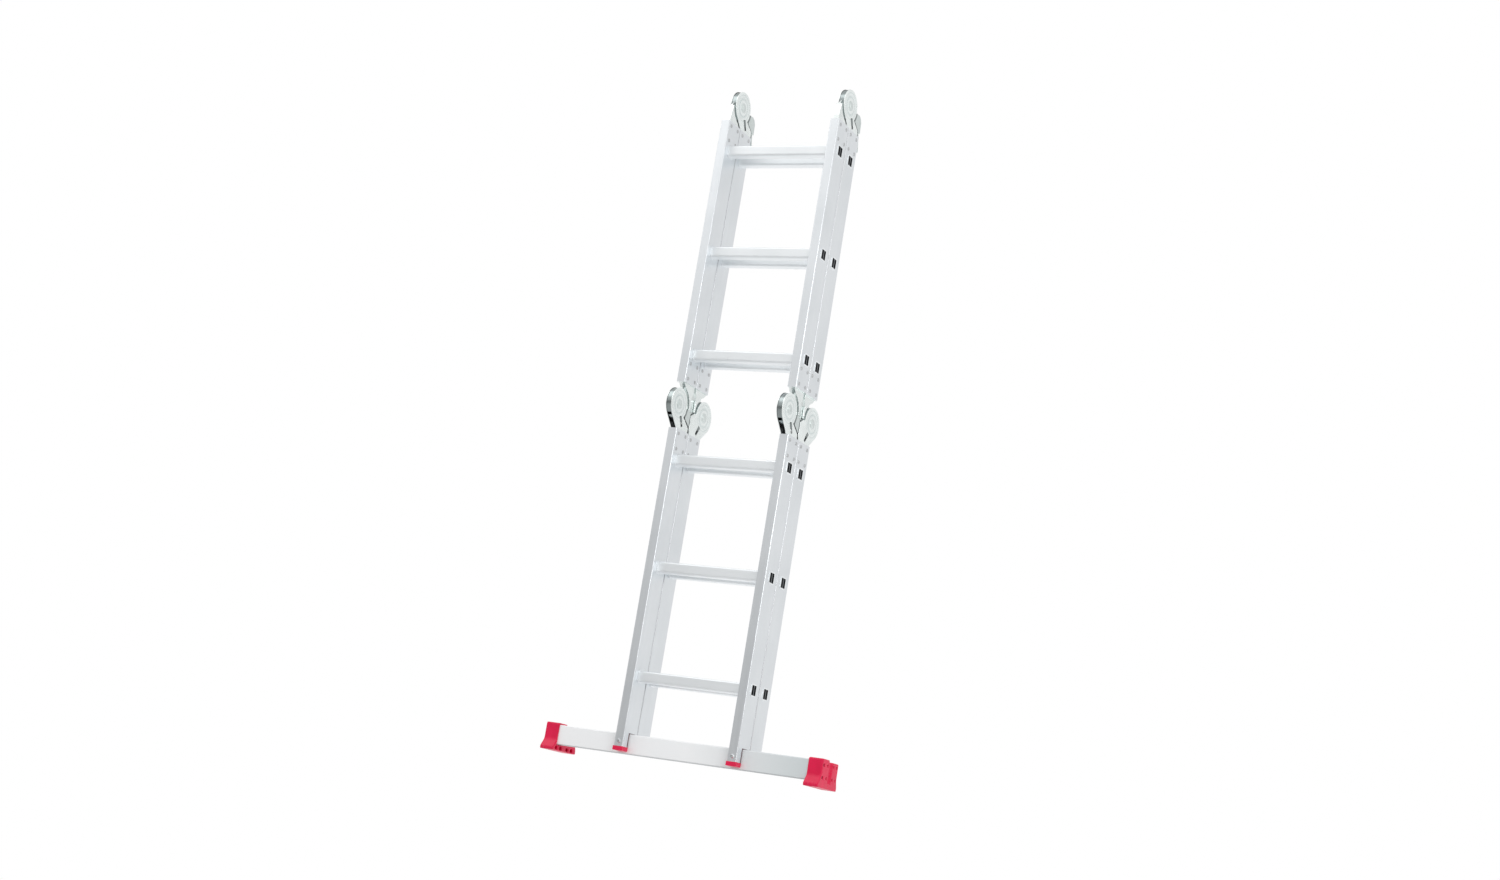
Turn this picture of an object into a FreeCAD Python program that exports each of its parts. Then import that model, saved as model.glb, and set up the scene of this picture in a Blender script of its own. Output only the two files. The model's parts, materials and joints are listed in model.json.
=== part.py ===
import FreeCAD, Part
import math
import os

# Multi position ladder: four three-rung sections, six folding hinges, one stabiliser bar.
# Millimetres. X to the right seen from the front, Y to the rear, Z up, soles at Z = 0.
# Shown as stored upright: middle hinges straight, top hinges folded closed.

os.makedirs("parts", exist_ok=True)

# sections
RUNG_PITCH = 280.0
RUNG_1_Z = 210.0
SECTION_RUNGS = 3
HALF_PITCH = RUNG_PITCH / 2
MID_PIVOT_Z = RUNG_1_Z + SECTION_RUNGS * RUNG_PITCH - HALF_PITCH
TOP_PIVOT_Z = MID_PIVOT_Z + SECTION_RUNGS * RUNG_PITCH
STILE_OUTER_X = 170.6
STILE_WIDTH = 25.0
STILE_DEPTH = 66.3
STILE_WALL = 1.6
STILE_EDGE_R = 2.5
STILE_OFFSET_Y = 34.15
MID_PIVOT_Y = 70.6
STILE_END_FROM_PIVOT = 61.0
STILE_MID_X = STILE_OUTER_X - STILE_WIDTH / 2
STILE_INNER_X = STILE_OUTER_X - STILE_WIDTH

# rungs
RUNG_DEPTH = 27.0
RUNG_HEIGHT = 28.5
RUNG_EDGE_R = 4.5
RUNG_WALL = 2.0
RUNG_FIT = 0.05
RUNG_BEAD = 2.5
RUNG_BEAD_LENGTH = 3.0
RUNG_FLARE = 1.9
RUNG_FLARE_LENGTH = 1.4
TREAD_GROOVE_WIDTH = 1.4
TREAD_GROOVE_DEPTH = 0.6
TREAD_GROOVES_Y = (-7.5, -2.5, 2.5, 7.5)
FACE_GROOVE_Z = -9.5
TREAD_HALF_LENGTH = 136.0

# hinges, measured from the pivot: D runs towards the stiles, Z up
HINGE_MID_X = 156.6
HINGE_HALF = 8.5
PLATE_T = 2.0
LAYER_GAP = 0.3
DISC_HALF = HINGE_HALF - PLATE_T - LAYER_GAP
PLATE_R = 42.5
DISC_R = 41.5
DISC_RIM = 3.5
DISC_WEB_HALF = 1.2
HUB_R = 14.0
NECK_R = 53.0
NECK_WEB_HALF = 2.2
NECK_SKIN = 2.0
PIVOT_R = 8.0
PIVOT_RUN_CLEAR = 0.06
PIVOT_HEAD_R = 13.0
PIVOT_HEAD_T = 1.5
PIVOT_CAP_R = 7.0
PIVOT_CAP_T = 0.9
PLATE_EDGE_R = 0.9
GROOVE_R = 28.0
GROOVE_HALF = 7.5
GROOVE_SINK = 1.0
SLEEVE_CLEAR = 0.1
SLEEVE_WALL = 1.8
SLEEVE_LENGTH = 62.0
SLEEVE_END_T = 2.5
NOTCH_HALF = 4.4
NOTCH_DEPTH = 7.0
LOCK_ANGLE = -59.5
MID_STOPS = (0.0, 71.5)
TOP_STOPS = (0.0, 71.5, 145.0, 180.0)

# lock slider of each hinge
BOLT_R_IN = DISC_R + 0.6
BOLT_R_OUT = 47.0
BOLT_EAR_R = 33.5
BOLT_HALF_WIDTH = 4.0
BOLT_HALF_LENGTH = 9.6
SLOT_CLEAR = 0.4
SLOT_R_IN = 32.0
SLOT_R_OUT = 61.0
LINK_HALF = 3.0
CHEEK_IN = HINGE_HALF - PLATE_T + 0.1
CHEEK_OUT = HINGE_HALF - 0.1
CHEEK_RIVET = (57.0, -19.0)
CHEEK_RIVET_R = 2.4
CHEEK_RIVET_T = 0.8
SPRING_R = 3.2
SPRING_WIRE_R = 0.6
SPRING_COILS = 5
SPRING_GAP = 0.3

# rivets of the hinge sleeves
RIVET_R = 2.6
RIVET_FIT = 0.05
RIVET_HEAD_R = 5.0
RIVET_TOP_R = 3.0
RIVET_HEAD_T = 1.5
RIVET_OFFSET_Y = 19.0
RIVET_ROWS = (12.0, 52.0)

# stabiliser bar and what holds it
BAR_FRONT_Y = -40.0
BAR_DEPTH = 25.0
BAR_BOTTOM_Z = 15.0
BAR_HEIGHT = 50.0
BAR_WALL = 1.8
BAR_EDGE_R = 3.0
BAR_HALF = 383.0
BAR_TOP_Z = BAR_BOTTOM_Z + BAR_HEIGHT
LUG_REAR_Y = -45.0
LUG_BOTTOM_Z = 31.2
LINER_T = 2.0
NOTCH_TOP_Z = BAR_TOP_Z + LINER_T
PAD_BOTTOM_Z = 20.5
PAD_LIP = 1.7
PAD_REAR_Y = BAR_FRONT_Y - 0.2
PLUG_HEIGHT = 20.0
HOOK_REAR_Y = -13.0
BOLT_Z = 43.5
SCREW_R = 3.0
SCREW_FIT = 0.05
SCREW_HEAD_R = 5.6
SCREW_HEAD_T = 3.0
SCREW_HEAD_TAPER = 1.6
SCREW_END_Y = BAR_FRONT_Y + 6.0
CROSS_WIDTH = 1.4
CROSS_LENGTH = 6.0
CROSS_DEPTH = 1.6

# bar feet
FOOT_INNER_X = 348.0
FOOT_OUTER_X = 387.3
FOOT_FRONT_Y = -43.5
FOOT_STEP_Y = -3.5
FOOT_GROOVE_Y = 16.5
FOOT_REAR_Y = 51.5
FOOT_TOP_Z = 69.5
FOOT_REAR_TOP_Z = 65.5
SOLE_FRONT_Y = -57.0
SOLE_REAR_Y = 58.0
SOLE_EDGE_Z = 8.0
FLARE_Z = 26.0
FLARE_EASE_Y = 2.5
FLARE_EASE_Z = 3.0
FOOT_EDGE_R = 3.0
GROOVE_DEPTH = 4.0
GROOVE_BOTTOM_Z = 14.0
WINDOW_Y = (-34.0, -12.0, 23.5, 43.0)
WINDOW_Z = (21.0, 51.0)
WINDOW_SIZE = 7.0
WINDOW_DEPTH = 3.0
HOLLOW_Y = (-40.0, -19.0, 14.0, 36.0)
HOLLOW_R = 4.2
HOLLOW_WIDTH = 13.0
HOLLOW_DEPTH = 14.0
HOLLOW_Z = 7.2
CORE_WALL = 4.0

# end caps of the rear lower stiles
CAP_BOTTOM_Z = 42.0
CAP_TOP_Z = 57.0
CAP_LIP = 1.0
CAP_EDGE_R = 2.0

X = FreeCAD.Vector(1, 0, 0)
Y = FreeCAD.Vector(0, 1, 0)
Z = FreeCAD.Vector(0, 0, 1)
O = FreeCAD.Vector(0, 0, 0)
EPS = 0.01
MARGIN = 1.0
REACH = 500.0


def box(x0, x1, y0, y1, z0, z1):
    return Part.makeBox(x1 - x0, y1 - y0, z1 - z0, FreeCAD.Vector(x0, y0, z0))


def edges_along(shape, axis):
    picked = []
    for edge in shape.Edges:
        if len(edge.Vertexes) == 2:
            run = edge.Vertexes[1].Point - edge.Vertexes[0].Point
            if run.Length > EPS and abs(run.dot(axis)) > run.Length * (1 - EPS):
                picked.append(edge)
    return picked


def round_box(x0, x1, y0, y1, z0, z1, radius, axis):
    block = box(x0, x1, y0, y1, z0, z1)
    return block.makeFillet(radius, edges_along(block, axis))


def rod(x0, x1, y, z, radius):
    return Part.makeCylinder(radius, x1 - x0, FreeCAD.Vector(x0, y, z), X)


def prism(points, x0, x1):
    corners = [FreeCAD.Vector(x0, y, z) for y, z in points]
    face = Part.Face(Part.makePolygon(corners + corners[:1]))
    return face.extrude(FreeCAD.Vector(x1 - x0, 0, 0))


def radial_box(r0, r1, half_width, half_length, angle):
    block = box(-half_length, half_length, r0, r1, -half_width, half_width)
    block.rotate(O, X, angle)
    return block


def mirror_x(shape):
    return shape.mirror(O, X)


def mirror_y(shape):
    return shape.mirror(O, Y)


def moved(shape, x, y, z):
    copy = shape.copy()
    copy.translate(FreeCAD.Vector(x, y, z))
    return copy


def write(name, shapes):
    shape = shapes[0] if len(shapes) == 1 else Part.makeCompound(shapes)
    shape.exportStep("parts/" + name + ".step")


def write_pair(name, right):
    write(name + "_right", [right])
    write(name + "_left", [mirror_x(right)])


# rungs and stiles

def rung(y, z):
    half = STILE_OUTER_X + RUNG_FLARE_LENGTH
    d = RUNG_DEPTH / 2
    h = RUNG_HEIGHT / 2
    tube = round_box(-half, half, -d, d, -h, h, RUNG_EDGE_R, X)
    for side in (1, -1):
        inner = side * (STILE_INNER_X - RUNG_BEAD_LENGTH)
        bead = collar(inner, side * STILE_INNER_X, RUNG_BEAD)
        flare = collar(side * STILE_OUTER_X, side * half, RUNG_FLARE)
        tube = tube.fuse(bead).fuse(flare)
    opening = d - RUNG_WALL
    floor = h - RUNG_WALL
    rib = RUNG_WALL / 2
    inside_r = RUNG_EDGE_R - RUNG_WALL
    for y0, y1 in ((-opening, -rib), (rib, opening)):
        cavity = round_box(-REACH, REACH, y0, y1, -floor, floor, inside_r, X)
        tube = tube.cut(cavity)
    for groove_y in TREAD_GROOVES_Y:
        w = TREAD_GROOVE_WIDTH / 2
        low = h - TREAD_GROOVE_DEPTH
        groove = box(-TREAD_HALF_LENGTH, TREAD_HALF_LENGTH, groove_y - w, groove_y + w, low, REACH)
        tube = tube.cut(groove)
    for side in (1, -1):
        y0, y1 = sorted((side * (d - TREAD_GROOVE_DEPTH), side * REACH))
        low = FACE_GROOVE_Z - TREAD_GROOVE_WIDTH / 2
        groove = box(-TREAD_HALF_LENGTH, TREAD_HALF_LENGTH, y0, y1, low, low + TREAD_GROOVE_WIDTH)
        tube = tube.cut(groove)
    return moved(tube, 0, y, z)


def collar(x0, x1, grow):
    x0, x1 = sorted((x0, x1))
    d = RUNG_DEPTH / 2 + grow
    h = RUNG_HEIGHT / 2 + grow
    return round_box(x0, x1, -d, d, -h, h, RUNG_EDGE_R + grow, X)


def stile(z0, z1, rung_heights, rivet_rows):
    d = STILE_DEPTH / 2
    tube = round_box(STILE_INNER_X, STILE_OUTER_X, -d, d, z0, z1, STILE_EDGE_R, Z)
    hollow = box(
        STILE_INNER_X + STILE_WALL,
        STILE_OUTER_X - STILE_WALL,
        STILE_WALL - d,
        d - STILE_WALL,
        z0 - EPS,
        z1 + EPS,
    )
    tube = tube.cut(hollow)
    hole_y = RUNG_DEPTH / 2 + RUNG_FIT
    hole_z = RUNG_HEIGHT / 2 + RUNG_FIT
    for z in rung_heights:
        hole = round_box(
            STILE_INNER_X - EPS,
            STILE_OUTER_X + EPS,
            -hole_y,
            hole_y,
            z - hole_z,
            z + hole_z,
            RUNG_EDGE_R + RUNG_FIT,
            X,
        )
        tube = tube.cut(hole)
    for z in rivet_rows:
        for y in (-RIVET_OFFSET_Y, RIVET_OFFSET_Y):
            tube = tube.cut(rod(0, REACH, y, z, RIVET_R + RIVET_FIT))
    return tube


def rivets(y, rows):
    found = []
    for z in rows:
        for dy in (-RIVET_OFFSET_Y, RIVET_OFFSET_Y):
            shank = rod(STILE_INNER_X, STILE_OUTER_X, y + dy, z, RIVET_R)
            out = Part.makeCone(
                RIVET_HEAD_R, RIVET_TOP_R, RIVET_HEAD_T, FreeCAD.Vector(STILE_OUTER_X, y + dy, z), X
            )
            back = Part.makeCone(
                RIVET_HEAD_R, RIVET_TOP_R, RIVET_HEAD_T, FreeCAD.Vector(STILE_INNER_X, y + dy, z), X * -1
            )
            one = shank.fuse(out).fuse(back)
            found += [one, mirror_x(one)]
    return found


# hinges, drawn about the pivot with the hinge's mid-plane at X = 0

def sleeve(side, stile_d):
    # side is -1 for the stile below the pivot and +1 for the one above it
    shift = STILE_MID_X - HINGE_MID_X
    half_x = STILE_WIDTH / 2 - STILE_WALL - SLEEVE_CLEAR
    half_y = STILE_DEPTH / 2 - STILE_WALL - SLEEVE_CLEAR
    near = side * STILE_END_FROM_PIVOT
    far = side * (STILE_END_FROM_PIVOT + SLEEVE_LENGTH)
    z0, z1 = sorted((near, far))
    y = stile_d
    block = box(shift - half_x, shift + half_x, y - half_y, y + half_y, z0, z1)
    near = side * (STILE_END_FROM_PIVOT + SLEEVE_END_T)
    far = side * REACH
    z0, z1 = sorted((near, far))
    half_x -= SLEEVE_WALL
    half_y -= SLEEVE_WALL
    block = block.cut(box(shift - half_x, shift + half_x, y - half_y, y + half_y, z0, z1))
    for row in RIVET_ROWS:
        for dy in (-RIVET_OFFSET_Y, RIVET_OFFSET_Y):
            z = side * (STILE_END_FROM_PIVOT + row)
            block = block.cut(rod(-REACH, REACH, y + dy, z, RIVET_R + RIVET_FIT))
    return block


LOW_END = -STILE_END_FROM_PIVOT
HIGH_END = STILE_END_FROM_PIVOT
TANGENT = (-PLATE_R * math.sqrt(0.5), -PLATE_R * math.sqrt(0.5))
PLATE_NECK = [TANGENT, (4.0, LOW_END), (65.5, LOW_END), (65.5, -48.0), (61.0, -44.0), (28.0, -24.0)]
PLATE_NECK_HIGH = [
    TANGENT, (4.0, LOW_END), (65.5, LOW_END), (69.8, -50.0), (69.8, -12.0), (52.0, -1.5), (39.0, -1.5)
]
DISC_NECK = [
    (21.0, 40.0), (21.5, 46.5), (6.5, HIGH_END), (65.5, HIGH_END), (65.0, 49.0), (58.0, 30.0), (56.0, 1.0),
    (39.0, 1.0)
]
DISC_NECK_WIDE = [
    (21.0, 40.0), (21.5, 46.5), (6.5, HIGH_END), (61.0, HIGH_END), (60.5, 48.0), (58.5, 33.0), (54.5, 19.0),
    (49.5, 9.0), (43.0, 1.0), (39.0, 1.0)
]
NECK_POCKET = [
    (22.0, 58.5), (57.0, 58.5), (57.0, 51.0), (53.0, 35.0), (51.5, 27.0), (45.0, 36.0), (33.0, 47.0)
]


def eased(slab, face_x):
    # round the edges of the slab's face at X = face_x
    rim = []
    for edge in slab.Edges:
        span = edge.BoundBox
        if abs(span.XMin - face_x) + abs(span.XMax - face_x) < EPS:
            rim.append(edge)
    return slab.makeFillet(PLATE_EDGE_R, rim)


def ring_groove(side):
    # a shallow round-bottomed groove about the pivot
    face_x = side * HINGE_HALF
    inner = FreeCAD.Vector(face_x, GROOVE_R - GROOVE_HALF, 0)
    bottom = FreeCAD.Vector(side * (HINGE_HALF - GROOVE_SINK), GROOVE_R, 0)
    outer = FreeCAD.Vector(face_x, GROOVE_R + GROOVE_HALF, 0)
    section = Part.Wire([Part.Arc(inner, bottom, outer).toShape(), Part.makeLine(outer, inner)])
    return Part.Face(section).revolve(O, X, 360)


def shell(neck, stile_d):
    # the half with the two outer plates
    plates = []
    for side in (1, -1):
        x0, x1 = sorted((side * (HINGE_HALF - PLATE_T), side * HINGE_HALF))
        plate = rod(x0, x1, 0, 0, PLATE_R).fuse(prism(neck, x0, x1)).removeSplitter()
        plates.append(eased(plate, side * HINGE_HALF).cut(ring_groove(side)))
    whole = plates[0].fuse(plates[1]).fuse(sleeve(-1, stile_d))
    whole = whole.cut(rod(-REACH, REACH, 0, 0, PIVOT_R))
    slot = radial_box(SLOT_R_IN, SLOT_R_OUT, BOLT_HALF_WIDTH + SLOT_CLEAR, HINGE_HALF + MARGIN, LOCK_ANGLE)
    return whole.cut(slot).removeSplitter()


def disc(neck, stops, stile_d, fold):
    # the half with the notched disc, turned by fold degrees about the pivot;
    # stops are the angles from straight at which the bolt finds a notch
    core = rod(-DISC_HALF, DISC_HALF, 0, 0, DISC_R)
    for side in (1, -1):
        x0, x1 = sorted((side * DISC_WEB_HALF, side * DISC_HALF))
        pocket = rod(x0, x1, 0, 0, DISC_R - DISC_RIM).cut(rod(x0, x1, 0, 0, HUB_R))
        core = core.cut(pocket)
    for stop in stops:
        low = DISC_R - NOTCH_DEPTH
        notch = radial_box(low, DISC_R + MARGIN, NOTCH_HALF, DISC_HALF + MARGIN, LOCK_ANGLE - stop)
        core = core.cut(notch)
    web = prism(neck, -NECK_WEB_HALF, NECK_WEB_HALF)
    web = web.cut(rod(-REACH, REACH, 0, 0, DISC_R - DISC_RIM / 2))
    cheeks = prism(neck, -HINGE_HALF, HINGE_HALF).cut(rod(-REACH, REACH, 0, 0, NECK_R))
    for side in (1, -1):
        cheeks = eased(cheeks, side * HINGE_HALF)
    cheeks = cheeks.cut(prism(NECK_POCKET, NECK_SKIN - HINGE_HALF, HINGE_HALF - NECK_SKIN))
    whole = core.fuse(web).fuse(cheeks).fuse(sleeve(1, stile_d))
    whole = whole.cut(rod(-REACH, REACH, 0, 0, PIVOT_R + PIVOT_RUN_CLEAR)).removeSplitter()
    whole.rotate(O, X, fold)
    return whole


def pivot():
    pin = rod(-HINGE_HALF, HINGE_HALF, 0, 0, PIVOT_R)
    for side in (1, -1):
        head = Part.makeCone(
            PIVOT_HEAD_R, PIVOT_HEAD_R - PIVOT_HEAD_T, PIVOT_HEAD_T,
            FreeCAD.Vector(side * HINGE_HALF, 0, 0), X * side,
        )
        cap = Part.makeCone(
            PIVOT_CAP_R, PIVOT_CAP_R - PIVOT_CAP_T, PIVOT_CAP_T,
            FreeCAD.Vector(side * (HINGE_HALF + PIVOT_HEAD_T), 0, 0), X * side,
        )
        pin = pin.fuse(head).fuse(cap)
    return pin.removeSplitter()


LINK_ROOT = [(34.0, -40.5), (30.5, -42.3), (27.6, -37.8), (25.4, -39.1), (23.5, -36.0), (27.8, -35.3)]
TAB_LINK = LINK_ROOT + [(56.5, -11.5), (58.5, -4.0), (66.5, -4.0), (66.5, -17.0)]
TAB = [(58.5, -8.0), (59.5, 27.0), (61.5, 30.5), (64.0, 27.0), (66.5, 0.0), (65.5, -10.0)]
TAB_BRIDGE = [(57.5, -16.5), (58.5, -9.5), (66.5, -9.5), (66.5, -16.5)]
LEVER_LINK = LINK_ROOT + [(38.0, -28.0), (68.0, -40.0), (71.0, -46.0), (68.3, -52.0)]
LEVER = [
    (68.3, -43.0), (71.5, -44.0), (84.0, -92.0), (84.0, -96.0), (81.5, -96.5), (79.5, -93.0), (68.3, -52.0)
]
CHEEK_ROOT = [(63.0, -40.7), (36.8, -24.7), (41.0, -15.5), (43.6, -6.0), (44.0, -2.5)]
TAB_CHEEK = CHEEK_ROOT + [(54.0, -3.0), (66.5, -8.0), (66.5, -42.8)]
LEVER_CHEEK = CHEEK_ROOT + [
    (55.0, -2.0), (62.0, -1.0), (72.0, -6.0), (78.5, -16.0), (80.0, -46.0), (69.0, -45.5)
]


def lock(link, grip, grip_half):
    bolt = radial_box(BOLT_R_IN, BOLT_R_OUT, BOLT_HALF_WIDTH, BOLT_HALF_LENGTH, LOCK_ANGLE)
    ears = radial_box(BOLT_EAR_R, BOLT_R_OUT, BOLT_HALF_WIDTH, BOLT_HALF_LENGTH, LOCK_ANGLE)
    ears = ears.cut(box(-CHEEK_IN, CHEEK_IN, -REACH, REACH, -REACH, REACH))
    whole = bolt.fuse(ears).fuse(prism(link, -LINK_HALF, LINK_HALF))
    return whole.fuse(prism(grip, -grip_half, grip_half)).removeSplitter()


def cheeked_lock(link, grip, grip_half, cheek, bridge):
    # a lock whose grip also has two side cheeks, riveted through
    whole = lock(link, grip, grip_half).fuse(prism(bridge, -CHEEK_OUT, CHEEK_OUT))
    for side in (1, -1):
        x0, x1 = sorted((side * CHEEK_IN, side * CHEEK_OUT))
        seat = FreeCAD.Vector(side * CHEEK_OUT, *CHEEK_RIVET)
        head = Part.makeCone(CHEEK_RIVET_R, CHEEK_RIVET_R / 2, CHEEK_RIVET_T, seat, X * side)
        whole = whole.fuse(prism(cheek, x0, x1)).fuse(head)
    return whole.removeSplitter()


def spring():
    # coil between the bolt's back and the stile sleeve's end plate
    low = BOLT_R_OUT + SPRING_WIRE_R + SPRING_GAP
    tilt = math.radians(-LOCK_ANGLE)
    high = STILE_END_FROM_PIVOT / math.sin(tilt) - SPRING_R - SPRING_WIRE_R
    length = high - low
    helix = Part.makeHelix(length / SPRING_COILS, length, SPRING_R)
    wire = Part.Wire(helix.Edges)
    section = Part.Wire(Part.makeCircle(SPRING_WIRE_R, FreeCAD.Vector(SPRING_R, 0, 0), Y))
    coil = wire.makePipeShell([section], True, True)
    coil.translate(FreeCAD.Vector(0, 0, low))
    coil.rotate(O, X, LOCK_ANGLE - 90)
    return coil


def place_top(shape):
    return moved(shape, HINGE_MID_X, 0, TOP_PIVOT_Z)


def place_front(shape):
    return moved(shape, HINGE_MID_X, -MID_PIVOT_Y, MID_PIVOT_Z)


def place_rear(shape):
    return mirror_y(place_front(shape))


# bar, feet, pads

def stabiliser_bar():
    y0 = BAR_FRONT_Y
    y1 = BAR_FRONT_Y + BAR_DEPTH
    bar = round_box(-BAR_HALF, BAR_HALF, y0, y1, BAR_BOTTOM_Z, BAR_TOP_Z, BAR_EDGE_R, X)
    w = BAR_WALL
    inside = round_box(
        -REACH, REACH, y0 + w, y1 - w, BAR_BOTTOM_Z + w, BAR_TOP_Z - w, BAR_EDGE_R - w, X
    )
    bar = bar.cut(inside)
    for x in (-STILE_MID_X, STILE_MID_X):
        hole = Part.makeCylinder(SCREW_R + SCREW_FIT, 2 * w, FreeCAD.Vector(x, y0 - w / 2, BOLT_Z), Y)
        bar = bar.cut(hole)
    return bar


def bar_foot():
    outline = [
        (FOOT_FRONT_Y, FOOT_TOP_Z),
        (FOOT_STEP_Y, FOOT_TOP_Z),
        (FOOT_STEP_Y, FOOT_REAR_TOP_Z),
        (FOOT_REAR_Y, FOOT_REAR_TOP_Z),
        (FOOT_REAR_Y, FLARE_Z),
        (SOLE_REAR_Y, SOLE_EDGE_Z),
        (SOLE_REAR_Y, 0.0),
        (SOLE_FRONT_Y, 0.0),
        (SOLE_FRONT_Y, SOLE_EDGE_Z),
        (FOOT_FRONT_Y - FLARE_EASE_Y, FLARE_Z - FLARE_EASE_Z),
        (FOOT_FRONT_Y, FLARE_Z + FLARE_EASE_Z),
    ]
    foot = prism(outline, FOOT_INNER_X, FOOT_OUTER_X)
    ridges = [edge for edge in edges_along(foot, X) if edge.CenterOfMass.z > FOOT_REAR_TOP_Z - EPS]
    ridges = [edge for edge in ridges if abs(edge.CenterOfMass.y - FOOT_STEP_Y) > EPS]
    foot = foot.makeFillet(FOOT_EDGE_R, ridges)
    outer = FOOT_OUTER_X
    groove = box(outer - GROOVE_DEPTH, REACH, FOOT_STEP_Y, FOOT_GROOVE_Y, GROOVE_BOTTOM_Z, REACH)
    foot = foot.cut(groove)
    for y in WINDOW_Y:
        for z in WINDOW_Z:
            half = WINDOW_SIZE / 2
            window = box(outer - WINDOW_DEPTH, REACH, y - half, y + half, z, z + WINDOW_SIZE)
            foot = foot.cut(window)
    for y in HOLLOW_Y:
        half = HOLLOW_WIDTH / 2 - HOLLOW_R
        x0 = FOOT_INNER_X - MARGIN
        x1 = FOOT_INNER_X + HOLLOW_DEPTH
        low = HOLLOW_Z - HOLLOW_R
        hollow = box(x0, x1, y - half, y + half, low, HOLLOW_Z + HOLLOW_R)
        for end in (y - half, y + half):
            hollow = hollow.fuse(rod(x0, x1, end, HOLLOW_Z, HOLLOW_R))
        foot = foot.cut(hollow)
    core = box(
        FOOT_INNER_X - MARGIN,
        outer - GROOVE_DEPTH - CORE_WALL,
        BAR_FRONT_Y + BAR_DEPTH + CORE_WALL,
        FOOT_REAR_Y - CORE_WALL,
        FLARE_Z - CORE_WALL,
        FOOT_REAR_TOP_Z - CORE_WALL,
    )
    rib_y = (FOOT_STEP_Y + FOOT_GROOVE_Y - CORE_WALL) / 2
    rib = box(FOOT_INNER_X, outer, rib_y, rib_y + CORE_WALL, FLARE_Z - CORE_WALL, FOOT_TOP_Z)
    foot = foot.cut(core.cut(rib))
    y0 = BAR_FRONT_Y
    y1 = BAR_FRONT_Y + BAR_DEPTH
    socket = round_box(FOOT_INNER_X - MARGIN, BAR_HALF, y0, y1, BAR_BOTTOM_Z, BAR_TOP_Z, BAR_EDGE_R, X)
    return foot.cut(socket).removeSplitter()


def screw_hole():
    start = FreeCAD.Vector(STILE_MID_X, -STILE_OFFSET_Y - STILE_DEPTH, BOLT_Z)
    return Part.makeCylinder(SCREW_R + SCREW_FIT, STILE_DEPTH, start, Y)


def lug_pad():
    front = -STILE_OFFSET_Y - STILE_DEPTH / 2
    pad = round_box(
        STILE_INNER_X - PAD_LIP,
        STILE_OUTER_X + PAD_LIP,
        front - PAD_LIP,
        PAD_REAR_Y,
        PAD_BOTTOM_Z,
        LUG_BOTTOM_Z,
        PAD_LIP,
        Z,
    )
    x0 = STILE_INNER_X
    x1 = STILE_OUTER_X
    seat_z = LUG_BOTTOM_Z - MARGIN
    upstand = box(x0, x1, LUG_REAR_Y, PAD_REAR_Y, seat_z, NOTCH_TOP_Z)
    hook = box(x0, x1, LUG_REAR_Y, HOOK_REAR_Y, BAR_TOP_Z, NOTCH_TOP_Z)
    inside = STILE_WALL + SLEEVE_CLEAR
    plug_top = LUG_BOTTOM_Z + PLUG_HEIGHT
    plug = box(x0 + inside, x1 - inside, front + inside, LUG_REAR_Y + MARGIN, seat_z, plug_top)
    return pad.fuse(upstand).fuse(hook).fuse(plug).cut(screw_hole()).removeSplitter()


def bar_screw():
    front = -STILE_OFFSET_Y - STILE_DEPTH / 2
    seat = FreeCAD.Vector(STILE_MID_X, front, BOLT_Z)
    shank = Part.makeCylinder(SCREW_R, SCREW_END_Y - front, seat, Y)
    head = Part.makeCone(SCREW_HEAD_R, SCREW_HEAD_R - SCREW_HEAD_TAPER, SCREW_HEAD_T, seat, Y * -1)
    x = STILE_MID_X
    y0 = front - SCREW_HEAD_T - MARGIN
    y1 = front - SCREW_HEAD_T + CROSS_DEPTH
    w = CROSS_WIDTH / 2
    reach = CROSS_LENGTH / 2
    across = box(x - reach, x + reach, y0, y1, BOLT_Z - w, BOLT_Z + w)
    upright = box(x - w, x + w, y0, y1, BOLT_Z - reach, BOLT_Z + reach)
    return shank.fuse(head).cut(across).cut(upright)


def end_cap():
    lip = CAP_LIP
    d = STILE_DEPTH / 2
    cap = box(
        STILE_INNER_X - lip, STILE_OUTER_X + lip, -d - lip, d + lip, CAP_BOTTOM_Z, CAP_TOP_Z
    )
    cap = cap.makeFillet(CAP_EDGE_R, cap.Edges)
    inside = STILE_WALL + SLEEVE_CLEAR
    plug = box(
        STILE_INNER_X + inside,
        STILE_OUTER_X - inside,
        inside - d,
        d - inside,
        CAP_TOP_Z - CAP_EDGE_R,
        CAP_TOP_Z + PLUG_HEIGHT,
    )
    return moved(cap.fuse(plug), 0, STILE_OFFSET_Y, 0)


# sections

LOWER_RUNGS = [RUNG_1_Z + i * RUNG_PITCH for i in range(SECTION_RUNGS)]
UPPER_RUNGS = [z + SECTION_RUNGS * RUNG_PITCH for z in LOWER_RUNGS]
LOWER_TOP = MID_PIVOT_Z - STILE_END_FROM_PIVOT
UPPER_BOTTOM = MID_PIVOT_Z + STILE_END_FROM_PIVOT
UPPER_TOP = TOP_PIVOT_Z - STILE_END_FROM_PIVOT
LOWER_ROWS = [LOWER_TOP - row for row in RIVET_ROWS]
UPPER_ROWS = [UPPER_BOTTOM + row for row in RIVET_ROWS] + [UPPER_TOP - row for row in RIVET_ROWS]

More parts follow.
